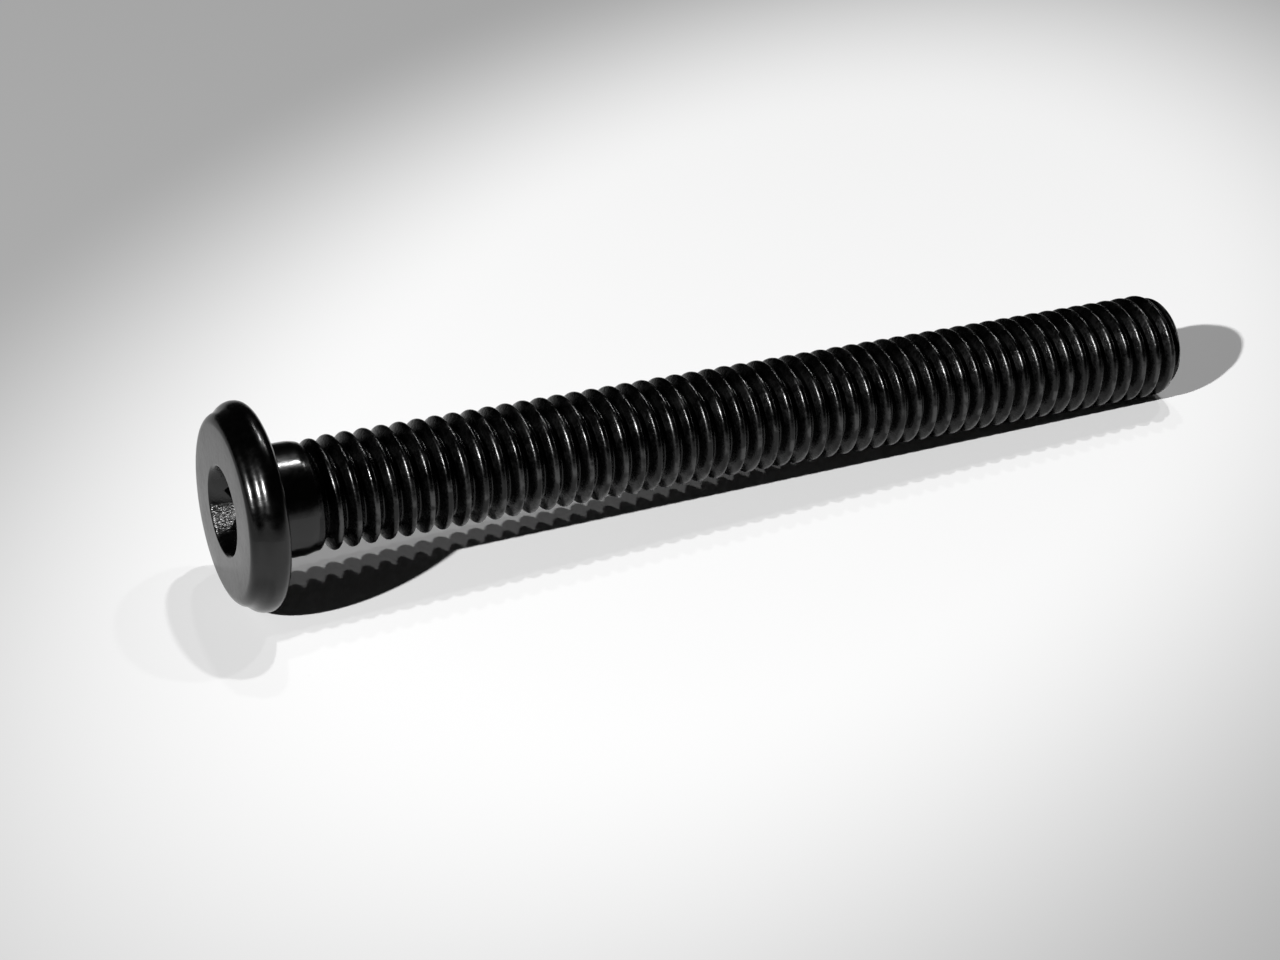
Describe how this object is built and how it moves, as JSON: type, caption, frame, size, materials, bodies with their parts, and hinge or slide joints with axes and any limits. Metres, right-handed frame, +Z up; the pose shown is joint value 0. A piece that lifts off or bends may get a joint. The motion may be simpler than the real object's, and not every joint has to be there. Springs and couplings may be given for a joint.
{
  "type": "low-profile socket screw",
  "caption": "Blackened steel machine screw with a thin, rounded disc head, a hexagon key socket and a metric thread almost up to the head.",
  "frame": {"origin": "on the ground, under the middle of the box around the screw as it lies", "axes": "+Z up, +X level and along the screw from its head to its tip; the screw's own axis dips towards the tip by 2.62 degrees"},
  "size_m": [0.0576, 0.011, 0.011],
  "materials": {
    "blackened_steel": "oiled black oxide, glossy"
  },
  "bodies": {
    "root": {"screw": "blackened_steel"}
  },
  "joints": []
}
